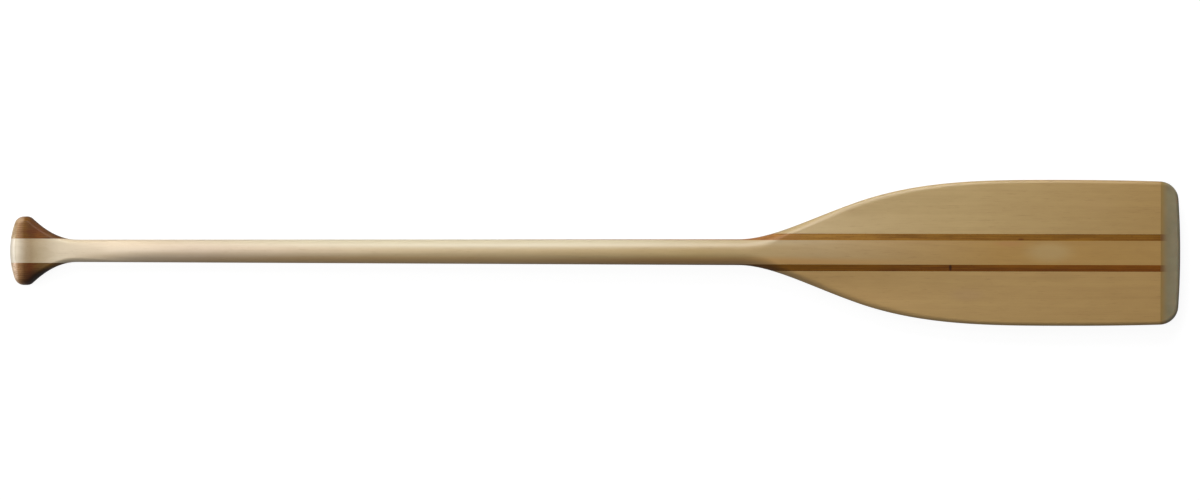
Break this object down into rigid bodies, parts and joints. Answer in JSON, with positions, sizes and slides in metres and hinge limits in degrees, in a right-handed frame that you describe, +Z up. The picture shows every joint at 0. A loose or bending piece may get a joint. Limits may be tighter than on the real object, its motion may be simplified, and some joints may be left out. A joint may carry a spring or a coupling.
{
  "type": "laminated wooden canoe paddle",
  "caption": "Straight wooden canoe paddle with a T-shaped grip, an oval shaft and a flared, striped, flat blade edged with resin at the tip.",
  "frame": {"origin": "under the middle of the paddle's length, on the surface that the grip rests on", "axes": "+X along the paddle from the crown of the grip to the tip, +Y across the blade, +Z up out of the upper blade face"},
  "size_m": [1.45, 0.181, 0.038],
  "materials": {
    "basswood": "pale straight-grained wood under clear satin varnish",
    "walnut": "dark brown wood under clear satin varnish",
    "resin": "grey-green cast resin, slightly see-through, sanded and polished"
  },
  "bodies": {
    "root": {"centre_board": "basswood", "accent_strip_left": "walnut", "accent_strip_right": "walnut", "blade_wing_left": "basswood", "blade_wing_right": "basswood", "grip_cheek_left": "walnut", "grip_cheek_right": "walnut", "tip_guard": "resin"}
  },
  "joints": []
}
